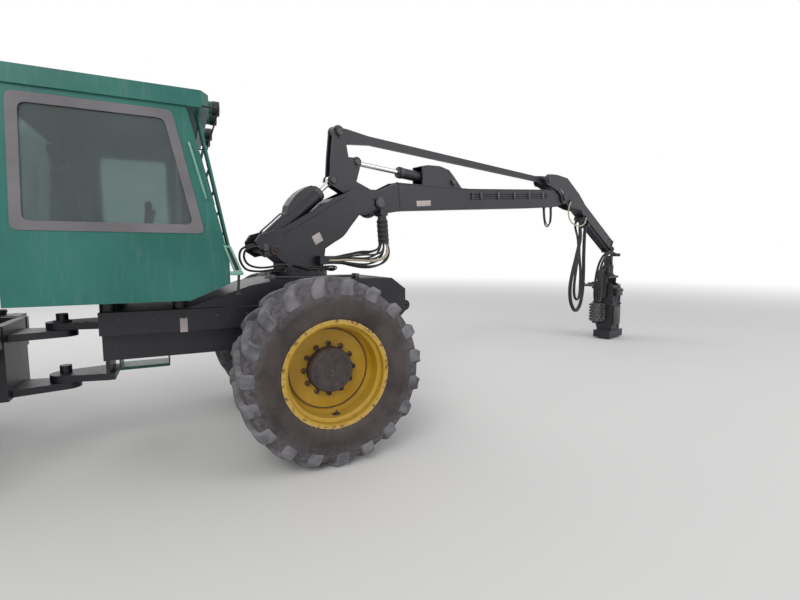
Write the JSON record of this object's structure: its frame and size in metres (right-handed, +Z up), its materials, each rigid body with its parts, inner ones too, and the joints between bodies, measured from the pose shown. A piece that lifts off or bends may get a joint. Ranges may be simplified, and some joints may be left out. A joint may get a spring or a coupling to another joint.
{
  "type": "wheeled forestry harvester with parallel crane",
  "caption": "Articulated four-wheel forestry harvester with a glazed cab, a slewing parallel crane with telescoping stick and a hanging felling and delimbing head.",
  "frame": {"origin": "on the ground, under the middle of the outline box of the machine with its crane as parked", "axes": "+X forward, +Y to the left, +Z up"},
  "size_m": [12.9837, 3.8926, 3.2256],
  "materials": {
    "black_paint": "worn semi-gloss black paint with dust and rust on its edges",
    "green_paint": "faded semi-gloss green paint",
    "yellow_paint": "dusty yellow paint, rusty at the flange",
    "tyre_rubber": "worn and dusty",
    "dark_steel": "dark worn steel",
    "bright_rod": "hard chrome",
    "engine_iron": "oily cast iron",
    "window_glass": "clear, a little dusty",
    "dark_plastic": "dull black",
    "seat_cloth": "woven dark cloth",
    "hose_rubber": "dull black"
  },
  "bodies": {
    "front_chassis": {"front_frame": "black_paint", "front_axle": "black_paint", "cab_shell": "green_paint", "cab_roof": "green_paint", "cab_glass": "window_glass", "operator_seat": "seat_cloth", "console": "dark_plastic", "guards_and_steps": "green_paint"},
    "door": {"cab_door": "green_paint", "door_glass": "window_glass"},
    "rear_chassis": {"rear_frame": "black_paint", "engine_block": "engine_iron", "tank": "black_paint", "rear_bumper": "black_paint"},
    "hood_cover": {"hood": "green_paint", "grille": "dark_plastic", "exhaust": "dark_steel"},
    "rocking_axle": {"rear_axle": "black_paint"},
    "front_left_wheel": {"tyre_front_left": "tyre_rubber", "wheel_front_left": "yellow_paint"},
    "front_right_wheel": {"tyre_front_right": "tyre_rubber", "wheel_front_right": "yellow_paint"},
    "rear_left_wheel": {"tyre_rear_left": "tyre_rubber", "wheel_rear_left": "yellow_paint"},
    "rear_right_wheel": {"tyre_rear_right": "tyre_rubber", "wheel_rear_right": "yellow_paint"},
    "tower": {"crane_tower": "black_paint", "tower_hoses": "hose_rubber", "elbow_hoses": "hose_rubber"},
    "lift_cylinder": {"lift_barrel": "black_paint"},
    "lift_piston": {"lift_rod": "bright_rod"},
    "rocker_arm": {"rocker": "black_paint"},
    "reach_cylinder": {"reach_barrel": "black_paint"},
    "reach_piston": {"reach_rod": "bright_rod"},
    "main_boom": {"boom": "black_paint"},
    "parallel_bar": {"pull_bar": "black_paint"},
    "outer_stick": {"stick": "black_paint"},
    "extension": {"telescope": "black_paint", "head_hoses": "hose_rubber"},
    "hanger": {"tip_link": "black_paint", "link_hoses": "hose_rubber"},
    "rotator_case": {"rotator": "black_paint"},
    "yoke": {"head_yoke": "black_paint"},
    "harvester_head": {"head_frame": "black_paint"},
    "left_roller": {"feed_roller_left": "dark_steel"},
    "right_roller": {"feed_roller_right": "dark_steel"},
    "left_knife": {"knife_left": "dark_steel"},
    "right_knife": {"knife_right": "dark_steel"},
    "saw": {"saw_bar": "dark_steel"}
  },
  "joints": [
    {"name": "steering", "type": "hinge", "parent": "front_chassis", "child": "rear_chassis", "pos_m": [-3.2618, -0.60031, 0.96], "axis": [0, 0, 1], "range_deg": [-40, 40]},
    {"name": "axle_rock", "type": "hinge", "parent": "rear_chassis", "child": "rocking_axle", "pos_m": [-4.9318, -0.60031, 0.81], "axis": [1, 0, 0], "range_deg": [-8, 8]},
    {"name": "front_left_spin", "type": "hinge", "parent": "front_chassis", "child": "front_left_wheel", "pos_m": [-1.1818, 0.44569, 0.81], "axis": [0, 1, 0], "continuous": true},
    {"name": "front_right_spin", "type": "hinge", "parent": "front_chassis", "child": "front_right_wheel", "pos_m": [-1.1818, -1.64631, 0.81], "axis": [0, 1, 0], "continuous": true},
    {"name": "rear_left_spin", "type": "hinge", "parent": "rocking_axle", "child": "rear_left_wheel", "pos_m": [-4.9318, 0.44569, 0.81], "axis": [0, 1, 0], "continuous": true},
    {"name": "rear_right_spin", "type": "hinge", "parent": "rocking_axle", "child": "rear_right_wheel", "pos_m": [-4.9318, -1.64631, 0.81], "axis": [0, 1, 0], "continuous": true},
    {"name": "cab_door_swing", "type": "hinge", "parent": "front_chassis", "child": "door", "pos_m": [-3.1088, 0.21669, 2], "axis": [0, 0, 1], "range_deg": [0, 80]},
    {"name": "hood_tilt", "type": "hinge", "parent": "rear_chassis", "child": "hood_cover", "pos_m": [-6.4218, -0.60031, 1.285], "axis": [0, -1, 0], "range_deg": [0, 60]},
    {"name": "crane_slew", "type": "hinge", "parent": "front_chassis", "child": "tower", "pos_m": [-1.1818, -0.60031, 1.56], "axis": [0, 0, 1], "range_deg": [-125.5, 94.5]},
    {"name": "rocker_lift", "type": "hinge", "parent": "tower", "child": "rocker_arm", "pos_m": [-0.18926, -0.32506, 2.41], "axis": [-0.2672, 0.9636, 0], "range_deg": [-4, 42]},
    {"name": "boom_reach", "type": "hinge", "parent": "rocker_arm", "child": "main_boom", "pos_m": [-0.18926, -0.32506, 2.41], "axis": [0.2672, -0.9636, 0], "range_deg": [0, 60]},
    {"name": "bar_swing", "type": "hinge", "parent": "rocker_arm", "child": "parallel_bar", "pos_m": [-0.68532, -0.46263, 3.15068], "axis": [0.2672, -0.9636, 0], "range_deg": [-1, 64]},
    {"name": "stick_fold", "type": "hinge", "parent": "main_boom", "child": "outer_stick", "pos_m": [3.97341, 0.82935, 2.84879], "axis": [-0.2672, 0.9636, 0], "range_deg": [-2, 104]},
    {"name": "lift_cylinder_swing", "type": "hinge", "parent": "tower", "child": "lift_cylinder", "pos_m": [-1.59616, -0.71522, 1.87], "axis": [0.2672, -0.9636, 0], "range_deg": [-0.43, 2.66]},
    {"name": "lift_piston_slide", "type": "slide", "parent": "lift_cylinder", "child": "lift_piston", "axis": [0.7263, 0.2014, 0.6573], "range_m": [-0.048, 0.457]},
    {"name": "reach_cylinder_swing", "type": "hinge", "parent": "main_boom", "child": "reach_cylinder", "pos_m": [1.09148, 0.03012, 2.79327], "axis": [0.2672, -0.9636, 0], "range_deg": [-1.83, 0.2]},
    {"name": "reach_piston_slide", "type": "slide", "parent": "reach_cylinder", "child": "reach_piston", "axis": [-0.9628, -0.267, 0.0417], "range_m": [-0.528, 0.005]},
    {"name": "telescope_slide", "type": "slide", "parent": "outer_stick", "child": "extension", "axis": [0.8555, 0.2373, -0.4602], "range_m": [0, 1.4]},
    {"name": "link_swing", "type": "hinge", "parent": "extension", "child": "hanger", "pos_m": [6.09603, 1.41801, 1.92664], "axis": [-0.2672, 0.9636, 0], "range_deg": [-40, 40]},
    {"name": "link_roll", "type": "hinge", "parent": "hanger", "child": "rotator_case", "pos_m": [6.09603, 1.41801, 1.67664], "axis": [0.9636, 0.2672, 0], "range_deg": [-30, 30]},
    {"name": "rotator_spin", "type": "hinge", "parent": "rotator_case", "child": "yoke", "pos_m": [6.09603, 1.41801, 1.39664], "axis": [0, 0, 1], "continuous": true},
    {"name": "head_tilt", "type": "hinge", "parent": "yoke", "child": "harvester_head", "pos_m": [6.09603, 1.41801, 0.95034], "axis": [-0.9636, -0.2672, 0], "range_deg": [0, 90]},
    {"name": "left_roller_spin", "type": "hinge", "parent": "harvester_head", "child": "left_roller", "pos_m": [5.80216, 1.42991, 0.5], "axis": [0, 0, 1], "continuous": true},
    {"name": "right_roller_spin", "type": "hinge", "parent": "harvester_head", "child": "right_roller", "pos_m": [6.3418, 1.57956, 0.5], "axis": [0, 0, 1], "continuous": true},
    {"name": "left_knife_swing", "type": "hinge", "parent": "harvester_head", "child": "left_knife", "pos_m": [5.81504, 1.49574, 1.12034], "axis": [0, 0, 1], "range_deg": [0, 50]},
    {"name": "right_knife_swing", "type": "hinge", "parent": "harvester_head", "child": "right_knife", "pos_m": [6.29685, 1.62936, 1.12034], "axis": [0, 0, -1], "range_deg": [0, 50]},
    {"name": "saw_swing", "type": "hinge", "parent": "harvester_head", "child": "saw", "pos_m": [6.36634, 1.37882, 0.07333], "axis": [0, 0, -1], "range_deg": [0, 90]}
  ],
  "couplings": [
    {"joint": "bar_swing", "follows": "boom_reach", "ratio": 1.04},
    {"joint": "stick_fold", "follows": "boom_reach", "ratio": 1.7},
    {"joint": "lift_cylinder_swing", "follows": "rocker_lift", "ratio": 0.05849},
    {"joint": "lift_piston_slide", "follows": "rocker_lift", "m_per_rad": 0.61653},
    {"joint": "reach_cylinder_swing", "follows": "boom_reach", "ratio": -0.02722},
    {"joint": "reach_piston_slide", "follows": "boom_reach", "m_per_rad": -0.49986}
  ]
}
